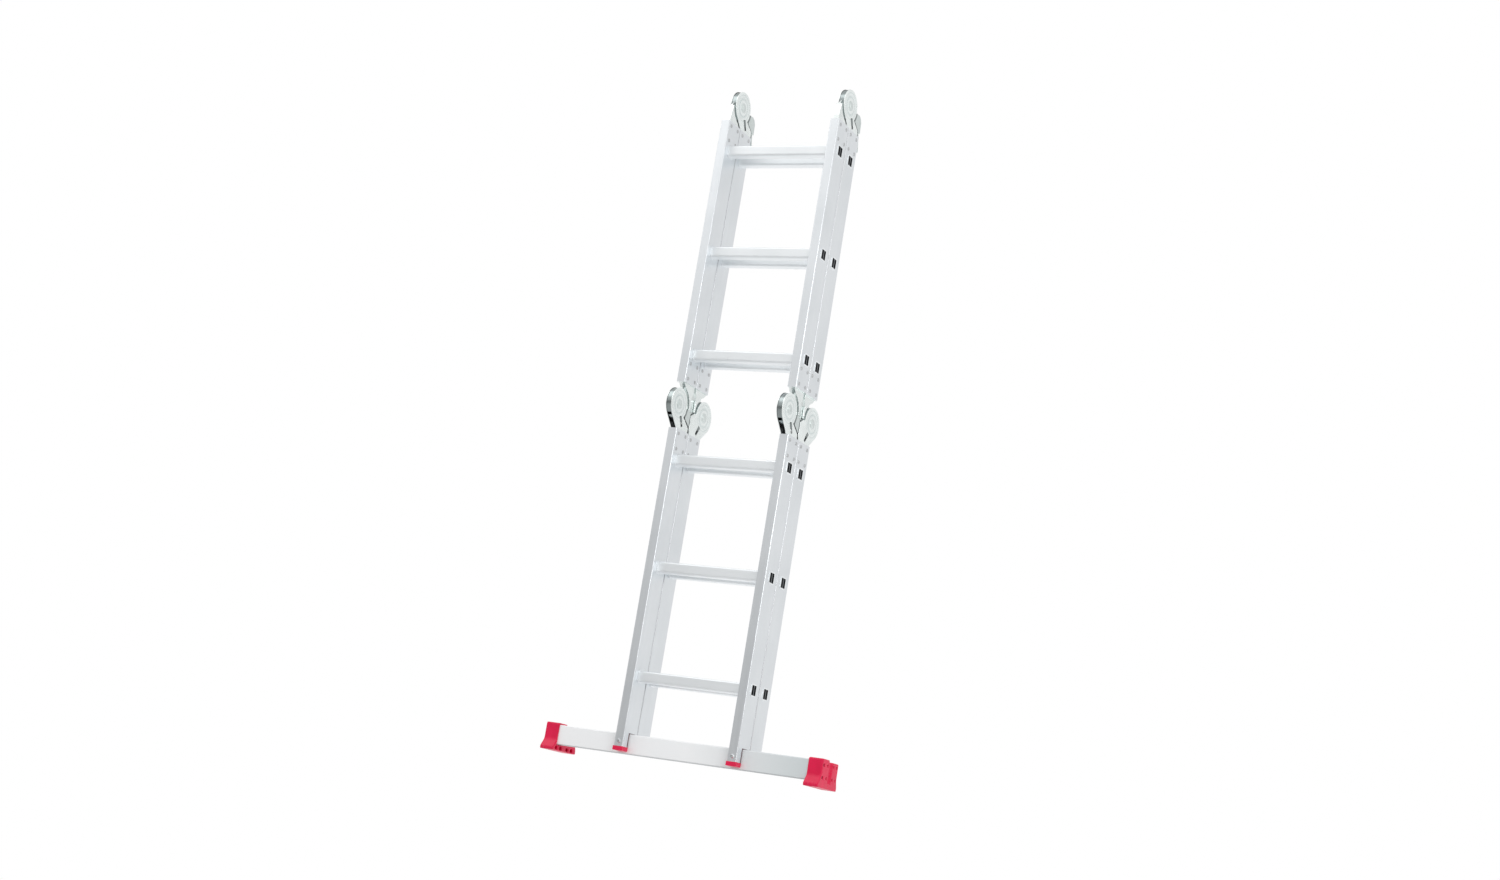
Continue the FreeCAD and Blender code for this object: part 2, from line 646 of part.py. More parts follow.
front_lower = moved(stile(LUG_BOTTOM_Z, LOWER_TOP, LOWER_RUNGS, LOWER_ROWS), 0, -STILE_OFFSET_Y, 0)
front_lower = front_lower.cut(box(0, REACH, LUG_REAR_Y, REACH, 0, NOTCH_TOP_Z)).cut(screw_hole())
write_pair("lower_front_stile", front_lower)
rear_lower = moved(stile(CAP_TOP_Z, LOWER_TOP, LOWER_RUNGS, LOWER_ROWS), 0, STILE_OFFSET_Y, 0)
write_pair("lower_rear_stile", rear_lower)
upper = stile(UPPER_BOTTOM, UPPER_TOP, UPPER_RUNGS, UPPER_ROWS)
write_pair("upper_front_stile", moved(upper, 0, -STILE_OFFSET_Y, 0))
write_pair("upper_rear_stile", moved(upper, 0, STILE_OFFSET_Y, 0))

for section, y, heights, rows in (
    ("lower_front", -STILE_OFFSET_Y, LOWER_RUNGS, LOWER_ROWS),
    ("upper_front", -STILE_OFFSET_Y, UPPER_RUNGS, UPPER_ROWS),
    ("upper_rear", STILE_OFFSET_Y, UPPER_RUNGS, UPPER_ROWS),
    ("lower_rear", STILE_OFFSET_Y, LOWER_RUNGS, LOWER_ROWS),
):
    for number, z in enumerate(heights, start=1):
        write(section + "_rung_" + str(number), [rung(y, z)])
    write(section + "_rivets", rivets(y, rows))

MID_STILE_D = MID_PIVOT_Y - STILE_OFFSET_Y
front_shell = shell(PLATE_NECK, MID_STILE_D)
rear_shell = shell(PLATE_NECK_HIGH, MID_STILE_D)
top_shell = shell(PLATE_NECK, STILE_OFFSET_Y)
straight_disc = disc(DISC_NECK, MID_STOPS, MID_STILE_D, 0)
folded_disc = disc(DISC_NECK_WIDE, TOP_STOPS, STILE_OFFSET_Y, 180)
tab_lock = lock(TAB_LINK, TAB, LINK_HALF)
cheeked_tab = cheeked_lock(TAB_LINK, TAB, LINK_HALF, TAB_CHEEK, TAB_BRIDGE)
lever_lock = cheeked_lock(LEVER_LINK, LEVER, CHEEK_OUT, LEVER_CHEEK, LEVER)
coil = spring()
pin = pivot()

write_pair("mid_front_hinge_shell", place_front(front_shell))
write_pair("mid_rear_hinge_shell", place_rear(rear_shell))
write_pair("top_hinge_shell", place_top(top_shell))
write_pair("mid_front_hinge_disc", place_front(straight_disc))
write_pair("mid_rear_hinge_disc", place_rear(straight_disc))
write_pair("top_hinge_disc", place_top(folded_disc))
write_pair("mid_front_lock", place_front(cheeked_tab))
write_pair("mid_rear_lock", place_rear(tab_lock))
write_pair("top_lock", place_top(lever_lock))
write_pair("mid_front_lock_spring", place_front(coil))
write_pair("mid_rear_lock_spring", place_rear(coil))
write_pair("top_lock_spring", place_top(coil))
write("mid_front_pivots", [place_front(pin), mirror_x(place_front(pin))])
write("mid_rear_pivots", [place_rear(pin), mirror_x(place_rear(pin))])
write("top_pivots", [place_top(pin), mirror_x(place_top(pin))])

write("stabiliser_bar", [stabiliser_bar()])
write_pair("bar_foot", bar_foot())
write_pair("lug_pad", lug_pad())
write("bar_screws", [bar_screw(), mirror_x(bar_screw())])
write_pair("end_cap", end_cap())
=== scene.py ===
import json
import math

import bmesh
import bpy
from mathutils import Matrix, Vector


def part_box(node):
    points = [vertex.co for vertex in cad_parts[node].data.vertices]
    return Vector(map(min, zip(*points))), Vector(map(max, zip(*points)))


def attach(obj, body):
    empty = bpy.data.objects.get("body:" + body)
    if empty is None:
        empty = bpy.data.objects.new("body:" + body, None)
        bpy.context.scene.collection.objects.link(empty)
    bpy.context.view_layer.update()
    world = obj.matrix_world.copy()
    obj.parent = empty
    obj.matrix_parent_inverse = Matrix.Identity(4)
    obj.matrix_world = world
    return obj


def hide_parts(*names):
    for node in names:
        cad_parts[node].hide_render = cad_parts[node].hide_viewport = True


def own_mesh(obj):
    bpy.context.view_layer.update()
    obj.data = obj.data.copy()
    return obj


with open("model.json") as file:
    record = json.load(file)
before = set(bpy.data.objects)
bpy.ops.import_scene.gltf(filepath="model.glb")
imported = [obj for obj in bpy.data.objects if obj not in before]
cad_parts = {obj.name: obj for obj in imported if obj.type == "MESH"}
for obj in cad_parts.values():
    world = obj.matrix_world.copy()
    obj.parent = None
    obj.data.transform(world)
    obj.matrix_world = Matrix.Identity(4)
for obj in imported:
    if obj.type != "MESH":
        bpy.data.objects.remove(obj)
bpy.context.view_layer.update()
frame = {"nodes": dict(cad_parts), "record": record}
nodes = frame["nodes"]
scene = bpy.context.scene

MM = 0.001


def linked(name, data):
    # a new object, put into the scene
    made = bpy.data.objects.new(name, data)
    scene.collection.objects.link(made)
    return made


# ---- camera ----

CAMERA_PLACE = (2.3984, -4.6087, -0.2169)
CAMERA_RIGHT = Vector((0.89268, 0.42170, 0.15902))
CAMERA_DOWN = Vector((0.05404, 0.25013, -0.96670))
CAMERA_FORWARD = Vector((-0.44744, 0.87155, 0.20050))
SENSOR_WIDTH = 36.0
LENS = 49.875
VIEW_END = 60.0

camera_data = bpy.data.cameras.new("camera")
camera_data.sensor_width = SENSOR_WIDTH
camera_data.lens = LENS
camera_data.clip_end = VIEW_END
camera = linked("camera", camera_data)
turn = Matrix((CAMERA_RIGHT, -CAMERA_DOWN, -CAMERA_FORWARD)).transposed()
camera.rotation_mode = "QUATERNION"
camera.rotation_quaternion = turn.to_quaternion()
camera.location = CAMERA_PLACE
scene.camera = camera
scene.view_settings.view_transform = "Standard"

# ---- places on the hinges; lengths are in millimetres ----

PIN_REACH = 2.4  # how far a pivot's head stands out of the plate
HINGE_HALF = 8.5  # from a hinge's middle plane to the outside of its plates
LOCK_ANGLE = math.radians(-59.5)
# hinge: the body that its pivots and springs ride on, and the way its locks point in Y
HINGES = {"mid_front": ("lower_front", 1), "mid_rear": ("lower_rear", -1), "top": ("upper_rear", 1)}

# ---- material building blocks ----


class Shade:
    """A node tree with short calls for the nodes used here."""

    def __init__(self, name):
        self.material = bpy.data.materials.new(name)
        self.material.use_nodes = True
        self.tree = self.material.node_tree
        self.shader = self.tree.nodes["Principled BSDF"]
        self.place = self.add("ShaderNodeTexCoord").outputs["Object"]

    def add(self, kind, **inputs):
        node = self.tree.nodes.new(kind)
        for key, value in inputs.items():
            self.put(node.inputs[key], value)
        return node

    def put(self, socket, value):
        if isinstance(value, bpy.types.NodeSocket):
            self.tree.links.new(value, socket)
        else:
            socket.default_value = value

    def noise(self, scale, stretch=(1, 1, 1), detail=3.0, rough=0.5, seed=0.0):
        mapping = self.add("ShaderNodeMapping", Scale=stretch, Location=(seed, seed * 0.7, seed * 1.3))
        self.put(mapping.inputs["Vector"], self.place)
        node = self.add("ShaderNodeTexNoise", Scale=scale, Detail=detail, Roughness=rough)
        self.put(node.inputs["Vector"], mapping.outputs["Vector"])
        return node.outputs["Fac"]

    def cells(self, scale):
        node = self.add("ShaderNodeTexVoronoi", Scale=scale)
        self.put(node.inputs["Vector"], self.place)
        return node.outputs["Color"]

    def remap(self, value, low, high, to_low, to_high):
        node = self.add("ShaderNodeMapRange")
        node.clamp = True
        self.put(node.inputs["Value"], value)
        for key, number in zip(("From Min", "From Max", "To Min", "To Max"), (low, high, to_low, to_high)):
            node.inputs[key].default_value = number
        return node.outputs["Result"]

    def ramp(self, distance, limits, to_low, to_high):
        # remap of a distance in metres, between two limits in millimetres
        return self.remap(distance, limits[0] * MM, limits[1] * MM, to_low, to_high)

    def math(self, operation, a, b=0.0):
        node = self.add("ShaderNodeMath")
        node.operation = operation
        self.put(node.inputs[0], a)
        self.put(node.inputs[1], b)
        return node.outputs["Value"]

    def times(self, a, b):
        return self.math("MULTIPLY", a, b)

    def plus(self, a, b):
        return self.math("ADD", a, b)

    def minus(self, a, b):
        return self.math("SUBTRACT", a, b)

    def size_of(self, value):
        return self.math("ABSOLUTE", value)

    def mix(self, factor, first, second):
        node = self.add("ShaderNodeMix")
        node.data_type = "RGBA"
        self.put(node.inputs["Factor"], factor)
        self.put(node.inputs["A"], first)
        self.put(node.inputs["B"], second)
        return node.outputs["Result"]

    def axis(self, index):
        node = self.add("ShaderNodeSeparateXYZ")
        self.put(node.inputs["Vector"], self.place)
        return node.outputs[index]

    def from_pivot(self):
        # distance from the nearest hinge pivot, across the hinge
        away = []
        for name in ("mid_front_pivots", "top_pivots"):
            low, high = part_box(name)
            y = self.minus(self.size_of(self.axis(1)), abs(low[1] + high[1]) / 2)
            z = self.minus(self.axis(2), (low[2] + high[2]) / 2)
            away.append(self.math("SQRT", self.plus(self.times(y, y), self.times(z, z))))
        return self.math("MINIMUM", away[0], away[1])

    def from_hinge_plane(self):
        # distance from the nearest hinge's middle plane, along X
        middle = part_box("top_pivots")[1][0] - (PIN_REACH + HINGE_HALF) * MM
        return self.size_of(self.minus(self.size_of(self.axis(0)), middle))

    def bump(self, height, strength, distance):
        # the distance is in millimetres
        node = self.add("ShaderNodeBump", Strength=strength, Distance=distance * MM)
        self.put(node.inputs["Height"], height)
        self.put(self.shader.inputs["Normal"], node.outputs["Normal"])

    def finish(self, colour, roughness, metallic):
        self.put(self.shader.inputs["Base Color"], colour)
        self.put(self.shader.inputs["Roughness"], roughness)
        self.shader.inputs["Metallic"].default_value = metallic
        return self.material


def rgb(r, g, b):
    return (r, g, b, 1.0)


# ---- aluminium ----

LINE_STRETCH = 0.006
BAND_STRETCH = 0.03
HANDLED = rgb(0.55, 0.56, 0.57)
# painted shade on the stile edges in the gap between the folded sections
STILE_GAP_SHADE = rgb(0.52, 0.53, 0.545)
STILE_GAP_SHADE_Y = (1.1, 3.4)  # the edges with painted shade in the gap between the folded sections lie this far from the plane between them
BAR_DARKER_END = rgb(0.65, 0.70, 0.712)
BAR_DARKER_END_X = (20.0, 340.0)
# painted shade along the bar's lower edge
BAR_EDGE_SHADE = rgb(0.42, 0.44, 0.45)
BAR_EDGE_SHADE_Z = (15.5, 18.2)
BORE_HALF_DEPTH = 11.75
BORE_HALF_HEIGHT = 12.5
BORE_LIP = 0.2
# painted shade on the rib's end and inside the rung's bore
RIB_END_SHADE = rgb(0.30, 0.31, 0.32)
BORE_SHADE = rgb(0.075, 0.083, 0.092)


def stretched(along, amount):
    scale = [1.0, 1.0, 1.0]
    scale[along] = amount
    return scale


def extruded(name, clean, dull, rough, along, seed):
    # extrusion lines run along one axis; faint cloudy patches and a few handling marks lie over them
    shade = Shade(name)
    lines = shade.noise(900.0, stretched(along, LINE_STRETCH), 4.0, 0.6, seed)
    bands = shade.noise(120.0, stretched(along, BAND_STRETCH), 3.0, 0.5, seed + 2.0)
    clouds = shade.noise(7.0, (1, 1, 1), 4.0, 0.55, seed + 5.0)
    marks = shade.remap(shade.noise(60.0, (1.0, 1.0, 0.25), 6.0, 0.75, seed + 9.0), 0.66, 0.74, 0.0, 1.0)
    tone = shade.mix(shade.remap(clouds, 0.35, 0.7, 0.0, 1.0), clean, dull)
    tone = shade.mix(shade.remap(bands, 0.3, 0.7, 0.0, 0.35), tone, dull)
    tone = shade.mix(shade.times(marks, 0.22), tone, HANDLED)
    brushed = shade.remap(lines, 0.25, 0.75, rough - 0.05, rough + 0.06)
    roughness = shade.plus(brushed, shade.times(marks, 0.12))
    shade.bump(shade.plus(lines, shade.times(bands, 0.6)), 0.22, 0.06)
    return shade, tone, roughness


def stile_aluminium():
    # painted shade: the edges that face the folded neighbour across the gap are painted grey
    clean, dull = rgb(0.880, 0.908, 0.932), rgb(0.808, 0.840, 0.865)
    shade, tone, roughness = extruded("stile_aluminium", clean, dull, rough=0.34, along=2, seed=0.0)
    gap_shade = shade.ramp(shade.size_of(shade.axis(1)), STILE_GAP_SHADE_Y, 0.8, 0.0)
    return shade.finish(shade.mix(gap_shade, tone, STILE_GAP_SHADE), roughness, 1.0)


def bar_aluminium():
    # matt anodised; darker towards the right end, with painted shade along the lower edge
    clean, dull = rgb(0.985, 0.99, 1.0), rgb(0.955, 0.97, 0.98)
    shade, tone, roughness = extruded("bar_aluminium", clean, dull, rough=0.50, along=0, seed=6.0)
    tone = shade.mix(shade.ramp(shade.axis(0), BAR_DARKER_END_X, 0.0, 1.0), tone, BAR_DARKER_END)
    # painted shade along the lower edge
    tone = shade.mix(shade.ramp(shade.axis(2), BAR_EDGE_SHADE_Z, 0.75, 0.0), tone, BAR_EDGE_SHADE)
    return shade.finish(tone, roughness, 0.1)


def rung_aluminium():
    # painted shade: the walls inside the open tube are painted dark and the end of its rib grey, while the
    # flared lip stays bright
    clean, dull = rgb(0.93, 0.955, 0.972), rgb(0.87, 0.897, 0.912)
    shade, tone, roughness = extruded("rung_aluminium", clean, dull, rough=0.50, along=0, seed=3.0)
    low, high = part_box("lower_front_rung_1")
    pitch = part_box("lower_front_rung_2")[0][2] - low[2]
    away_y = shade.size_of(shade.minus(shade.size_of(shade.axis(1)), abs(low[1] + high[1]) / 2))
    away_z = shade.math("PINGPONG", shade.minus(shade.axis(2), (low[2] + high[2]) / 2), pitch / 2)
    within_y = shade.math("LESS_THAN", away_y, BORE_HALF_DEPTH * MM)
    within_z = shade.math("LESS_THAN", away_z, BORE_HALF_HEIGHT * MM)
    bore = shade.times(within_y, within_z)
    deep = shade.math("LESS_THAN", shade.size_of(shade.axis(0)), high[0] - BORE_LIP * MM)
    inside = shade.times(bore, deep)
    # painted shade inside the bore and on the rib's end
    tone = shade.mix(bore, tone, RIB_END_SHADE)
    tone = shade.mix(inside, tone, BORE_SHADE)
    roughness = shade.plus(roughness, shade.times(inside, 0.2))
    return shade.finish(tone, roughness, 0.85)


# ---- zinc-plated steel ----

ZINC = rgb(0.95, 1.0, 0.99)
CRYSTAL = rgb(0.95, 1.0, 0.98)
SHELL_METAL = 0.78  # the passivated plates scatter some light
PLATE_INSIDE = (6.5, 6.9)  # inner faces of the shell plates, from the hinge's middle plane
# painted shade between the plates
PLATE_GAP_SHADE = rgb(0.060, 0.066, 0.068)
GROOVE_WALL_R = (19.5, 22.5)
GROOVE_FLOOR_R = (22.5, 30.0)
GROOVE_LIP_R = (32.5, 34.5, 36.2)
GROOVE_SHADOW = rgb(0.36, 0.47, 0.48)
DISC_FACE = (6.3, 6.6)  # outer faces of the disc, from the hinge's middle plane
DISC_RIM_R = (42.0, 43.0)
# painted shade on the disc between the plates
DISC_GAP_SHADE = rgb(0.33, 0.37, 0.37)
BOLT_NOSE_R = (47.8, 49.0)
# painted shade on the bolt's nose
NOSE_SHADE = rgb(0.30, 0.33, 0.33)


def zinc(name, colour, rough, seed):
    # faint crystals, fine scratches and greyer handling patches
    shade = Shade(name)
    scratches = shade.noise(700.0, (1.0, 0.05, 1.0), 5.0, 0.7, seed)
    patches = shade.noise(38.0, (1, 1, 1), 4.0, 0.6, seed + 4.0)
    dull = tuple(c * 0.90 for c in colour[:3]) + (1.0,)
    tone = shade.mix(shade.remap(patches, 0.35, 0.7, 0.0, 1.0), colour, dull)
    tone = shade.mix(shade.times(shade.cells(420.0), 0.12), tone, CRYSTAL)
    roughness = shade.remap(scratches, 0.25, 0.75, rough - 0.06, rough + 0.09)
    shade.bump(scratches, 0.16, 0.08)
    return shade, tone, roughness


def plain_zinc(name, colour, rough, seed):
    shade, tone, roughness = zinc(name, colour, rough, seed)
    return shade.finish(tone, roughness, 1.0)


def shell_zinc():
    # painted shade between the plates, and a painted shadow in the ring groove
    shade, tone, roughness = zinc("zinc_plate", ZINC, 0.28, 1.0)
    between = shade.ramp(shade.from_hinge_plane(), PLATE_INSIDE, 1.0, 0.0)
    radius = shade.from_pivot()
    wall = shade.ramp(radius, GROOVE_WALL_R, 0.0, 1.0)
    floor_end = shade.ramp(radius, GROOVE_FLOOR_R, 1.0, 0.0)
    lip_rise = shade.ramp(radius, GROOVE_LIP_R[:2], 0.0, 1.0)
    lip_fall = shade.ramp(radius, GROOVE_LIP_R[1:], 1.0, 0.0)
    groove = shade.plus(shade.times(wall, floor_end), shade.times(lip_rise, lip_fall))
    tone = shade.mix(shade.times(groove, 0.36), tone, GROOVE_SHADOW)
    # painted shade between the plates
    tone = shade.mix(between, tone, PLATE_GAP_SHADE)
    return shade.finish(tone, roughness, SHELL_METAL)


def disc_zinc():
    # painted shade on the rim and on the web behind it, between the disc's outer faces
    shade, tone, roughness = zinc("zinc_disc", ZINC, 0.24, 2.0)
    across = shade.ramp(shade.from_hinge_plane(), DISC_FACE, 1.0, 0.0)
    round_rim = shade.ramp(shade.from_pivot(), DISC_RIM_R, 1.0, 0.0)
    return shade.finish(shade.mix(shade.times(across, round_rim), tone, DISC_GAP_SHADE), roughness, 1.0)


def lock_zinc():
    # painted shade: the bolt's nose is painted darker
    shade, tone, roughness = zinc("lock_plate", rgb(0.72, 0.78, 0.77), 0.30, 8.0)
    nose = shade.ramp(shade.from_pivot(), BOLT_NOSE_R, 1.0, 0.0)
    return shade.finish(shade.mix(nose, tone, NOSE_SHADE), roughness, 1.0)


# ---- moulded plastic ----

SCUFF_Z = (0.0, 22.0)
SCUFFED = rgb(0.42, 0.20, 0.22)
# painted shade on the pad's liner, above this height
LINER_SHADE_Z = 31.4
LINER_SHADE = rgb(0.10, 0.035, 0.045)


def moulded(name, colour, deep, rough, seed, liner_shade=False):
    # fine sparked grain, faint flow marks, and scuffs low down near the ground;
    # a pad's upper part, a thin liner, is painted dark as shade
    shade = Shade(name)
    grain = shade.noise(1500.0, (1, 1, 1), 2.0, 0.5, seed)
    flow = shade.noise(45.0, (1.0, 1.0, 0.4), 4.0, 0.6, seed + 3.0)
    scuffs = shade.remap(shade.noise(160.0, (1.0, 1.0, 0.5), 6.0, 0.7, seed + 8.0), 0.55, 0.72, 0.0, 1.0)
    worn = shade.times(scuffs, shade.ramp(shade.axis(2), SCUFF_Z, 1.0, 0.0))
    tone = shade.mix(shade.remap(flow, 0.3, 0.7, 0.0, 1.0), colour, deep)
    tone = shade.mix(shade.times(worn, 0.5), tone, SCUFFED)
    if liner_shade:
        # painted shade on the pad's liner
        tone = shade.mix(shade.math("GREATER_THAN", shade.axis(2), LINER_SHADE_Z * MM), tone, LINER_SHADE)
    sparked = shade.remap(grain, 0.3, 0.7, rough - 0.04, rough + 0.07)
    roughness = shade.plus(sparked, shade.times(worn, 0.2))
    shade.bump(shade.plus(grain, shade.times(flow, 0.4)), 0.25, 0.12)
    shade.shader.inputs["Specular IOR Level"].default_value = 0.35
    return shade.finish(tone, roughness, 0.0)


# ---- each node's material ----

PIN = plain_zinc("pivot_plate", rgb(0.76, 0.82, 0.81), 0.30, 5.0)
RIVET = plain_zinc("rivet_plate", rgb(0.56, 0.57, 0.58), 0.32, 11.0)
SCREW = plain_zinc("screw_plate", rgb(0.82, 0.83, 0.84), 0.20, 14.0)
SPRING = plain_zinc("spring_wire", rgb(0.24, 0.25, 0.26), 0.38, 17.0)
DISC = disc_zinc()
LOCK = lock_zinc()
RED = moulded("red_plastic", rgb(0.80, 0.008, 0.075), rgb(0.70, 0.006, 0.060), 0.36, 2.0)
PAD = moulded("red_pad", rgb(0.82, 0.012, 0.080), rgb(0.72, 0.010, 0.066), 0.40, 4.0, liner_shade=True)
SLOT_MATERIAL = {
    "stile_aluminium": stile_aluminium(),
    "rung_aluminium": rung_aluminium(),
    "bar_aluminium": bar_aluminium(),
    "zinc_steel": shell_zinc(),
    "rivet_steel": RIVET,
    "pivot_steel": PIN,
    "lock_steel": LOCK,
    "spring_steel": SPRING,
    "screw_steel": SCREW,
    "red_plastic": RED,
}
for entry in frame["record"]["subparts"]:
    node_mesh = nodes[entry["node"]].data
    node_mesh.materials.clear()
    is_disc = "hinge_disc" in entry["node"]
    node_mesh.materials.append(DISC if is_disc else SLOT_MATERIAL[entry["material_slot"]])

# ---- pieces that refine the CAD shapes ----


def mesh_of(form, name):
    mesh = bpy.data.meshes.new(name)
    form.to_mesh(mesh)
    form.free()
    return mesh


def applied(draft, name):
    # the draft's mesh with its modifiers applied; the draft goes
    mesh = bpy.data.meshes.new_from_object(draft.evaluated_get(bpy.context.evaluated_depsgraph_get()))
    mesh.name = name
    bpy.data.objects.remove(draft)
    return mesh


def smooth_shaded(mesh):
    for face in mesh.polygons:
        face.use_smooth = True


def piece(name, mesh, body, material, node):
    mesh.materials.clear()
    mesh.materials.append(material)
    smooth_shaded(mesh)
    made = linked(name, mesh)
    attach(made, body)
    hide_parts(node)
    return made


# the small windows in the outer face of a foot, in millimetres
WINDOW_Y = (-34.0, -12.0, 23.5, 43.0)
WINDOW_Z = (24.5, 54.5)
WINDOW_WIDTH = 7.0
WINDOW_HEIGHT = 7.5
WINDOW_DEPTH = 3.0


def window_cutter(node):
    low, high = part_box(node)
    depth = WINDOW_DEPTH * MM
    middle = high[0] - depth / 2 if high[0] > 0 else low[0] + depth / 2
    size = (2 * depth, WINDOW_WIDTH * MM, WINDOW_HEIGHT * MM)
    form = bmesh.new()
    for y in WINDOW_Y:
        for z in WINDOW_Z:
            place = Matrix.Translation((middle, y * MM, z * MM)) @ Matrix.Diagonal((*size, 1.0))
            bmesh.ops.create_cube(form, size=1.0, matrix=place)
    return linked("windows", mesh_of(form, "windows"))


def softened(name, node, body, material, voxel, passes, keep, windows=False):
    # the same moulding with its edges eased all round
    draft = linked(name + "_draft", nodes[node].data.copy())
    remesh = draft.modifiers.new("remesh", "REMESH")
    remesh.mode = "VOXEL"
    remesh.voxel_size = voxel * MM
    smooth = draft.modifiers.new("smooth", "SMOOTH")
    smooth.factor = 0.5
    smooth.iterations = passes
    thin = draft.modifiers.new("thin", "DECIMATE")
    thin.ratio = keep
    cutter = window_cutter(node) if windows else None
    if cutter:
        cut = draft.modifiers.new("cut", "BOOLEAN")
        cut.object = cutter
        cut.solver = "EXACT"
    mesh = applied(draft, name)
    if cutter:
        bpy.data.objects.remove(cutter)
    return piece(name, mesh, body, material, node)


WELD = 0.001
FLAT_ANGLE = math.radians(1.0)
SHARP_ANGLE = math.radians(35.0)


def bevelled(name, node, body, material, width):
    # the same flat-sided part with its sharp edges broken
    form = bmesh.new()
    form.from_mesh(nodes[node].data)
    bmesh.ops.remove_doubles(form, verts=form.verts, dist=WELD * MM)
    bmesh.ops.dissolve_limit(form, angle_limit=FLAT_ANGLE, verts=form.verts, edges=form.edges)
    draft = linked(name + "_draft", mesh_of(form, name + "_draft"))
    smooth_shaded(draft.data)
    bevel = draft.modifiers.new("bevel", "BEVEL")
    bevel.width = width * MM
    bevel.segments = 3
    bevel.limit_method = "ANGLE"
    bevel.angle_limit = SHARP_ANGLE
    weighted = draft.modifiers.new("weighted", "WEIGHTED_NORMAL")
    weighted.weight = 100
    weighted.keep_sharp = True
    return piece(name, applied(draft, name), body, material, node)


def skin(form, rings):
    # faces between rings of vertices, and one over each end
    count = len(rings[0])
    for first, second in zip(rings, rings[1:]):
        for i in range(count):
            j = (i + 1) % count
            form.faces.new((first[i], first[j], second[j], second[i]))
    form.faces.new(rings[0])
    form.faces.new(rings[-1])


def turned(form, profile, centre, side, steps):
    # a closed form turned about X: (radius, reach) in millimetres from its seat to its crown
    rings = []
    for radius, reach in profile:
        ring = []
        for i in range(steps):
            angle = math.tau * i / steps
            y = centre[1] + radius * MM * math.cos(angle)
            z = centre[2] + radius * MM * math.sin(angle)
            ring.append(form.verts.new((centre[0] + side * reach * MM, y, z)))
        rings.append(ring)
    skin(form, rings)


def turned_piece(name, node, body, material, profile, seats, steps):
    form = bmesh.new()
    for centre, side in seats:
        turned(form, profile, centre, side, steps)
    bmesh.ops.recalc_face_normals(form, faces=form.faces)
    return piece(name, mesh_of(form, name), body, material, node)


for side in ("left", "right"):
    foot = "foot_" + side
    softened(foot, "bar_" + foot, "lower_front", RED, voxel=1.1, passes=26, keep=0.4, windows=True)
    softened("pad_" + side, "lug_pad_" + side, "lower_front", PAD, voxel=0.6, passes=6, keep=0.35)
    softened("cap_" + side, "end_cap_" + side, "lower_rear", RED, voxel=0.9, passes=6, keep=0.3)

for hinge in HINGES:
    for side in ("left", "right"):
        node = hinge + "_lock_" + side
        bevelled("eased_" + node, node, node, LOCK, width=0.45)
bevelled("eased_bar_screws", "bar_screws", "lower_front", SCREW, width=0.25)

# ---- rivets ----

RIVET_HEAD_R = 5.0
RIVET_HEAD_T = 1.5
RIVET_ROW = 40.0
STILE_WIDTH = 25.0
DOME_EDGE = 0.15  # the upright part of a dome's height


def dome(radius, height, rings):
    profile = [(radius, 0.0)]
    for i in range(1, rings):
        bend = 0.5 * math.pi * i / rings
        profile.append((radius * math.cos(bend), height * (DOME_EDGE + (1 - DOME_EDGE) * math.sin(bend))))
    return profile


RIVET_DOME = dome(RIVET_HEAD_R, RIVET_HEAD_T, rings=7)
for section in ("lower_front", "lower_rear", "upper_front", "upper_rear"):
    node = section + "_rivets"
    low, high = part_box(node)
    heights = [high[2] - RIVET_HEAD_R * MM, high[2] - (RIVET_HEAD_R + RIVET_ROW) * MM]
    if section.startswith("upper"):
        heights += [low[2] + RIVET_HEAD_R * MM, low[2] + (RIVET_HEAD_R + RIVET_ROW) * MM]
    outer = high[0] - RIVET_HEAD_T * MM
    inner = outer - STILE_WIDTH * MM
    seats = []
    for z in heights:
        for y in (low[1] + RIVET_HEAD_R * MM, high[1] - RIVET_HEAD_R * MM):
            for side in (1, -1):
                seats.append(((side * outer, y, z), side))
                seats.append(((side * inner, y, z), -side))
    turned_piece("domed_" + node, node, section, RIVET, RIVET_DOME, seats, steps=28)

# ---- hinge pivots ----

# a flat head with a rounded edge, and a raised ring about a shallow dish
PIN_HEAD = [
    (13.0, 0.0), (13.0, 0.55), (12.7, 1.0), (12.1, 1.3), (11.0, 1.45), (8.2, 1.5), (7.5, 1.62), (7.1, 1.95),
    (6.4, 2.28), (5.4, 2.4), (4.4, 2.32), (3.6, 2.1), (2.4, 1.98), (0.6, 1.95),
]
for hinge, (body, _) in HINGES.items():
    node = hinge + "_pivots"
    low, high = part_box(node)
    middle = ((low[1] + high[1]) / 2, (low[2] + high[2]) / 2)
    outer = high[0] - PIN_REACH * MM
    inner = outer - 2 * HINGE_HALF * MM
    seats = []
    for side in (1, -1):
        seats.append(((side * outer, *middle), side))
        seats.append(((side * inner, *middle), -side))
    turned_piece("domed_" + node, node, body, PIN, PIN_HEAD, seats, steps=64)

# ---- lock springs ----

SPRING_LOW = 47.95  # the ends of the spring, from the pivot
SPRING_HIGH = 66.9
SPRING_R = 3.2
WIRE_R = 0.6
SPRING_TURNS = 6
END_TURN = 1.5  # how far a closed end turn travels


def coil_point(turn, across, along):
    # a point of the helix: the turn runs from 0 to SPRING_TURNS, and the end turns lie closed
    if turn < 1:
        travel = END_TURN * turn
    elif turn > SPRING_TURNS - 1:
        travel = SPRING_HIGH - SPRING_LOW - END_TURN * (SPRING_TURNS - turn)
    else:
        open_length = SPRING_HIGH - SPRING_LOW - 2 * END_TURN
        travel = END_TURN + open_length * (turn - 1) / (SPRING_TURNS - 2)
    angle = math.tau * turn
    radial = Vector((math.cos(angle), 0, 0)) + across * math.sin(angle)
    return along * (SPRING_LOW + travel) + radial * SPRING_R, radial


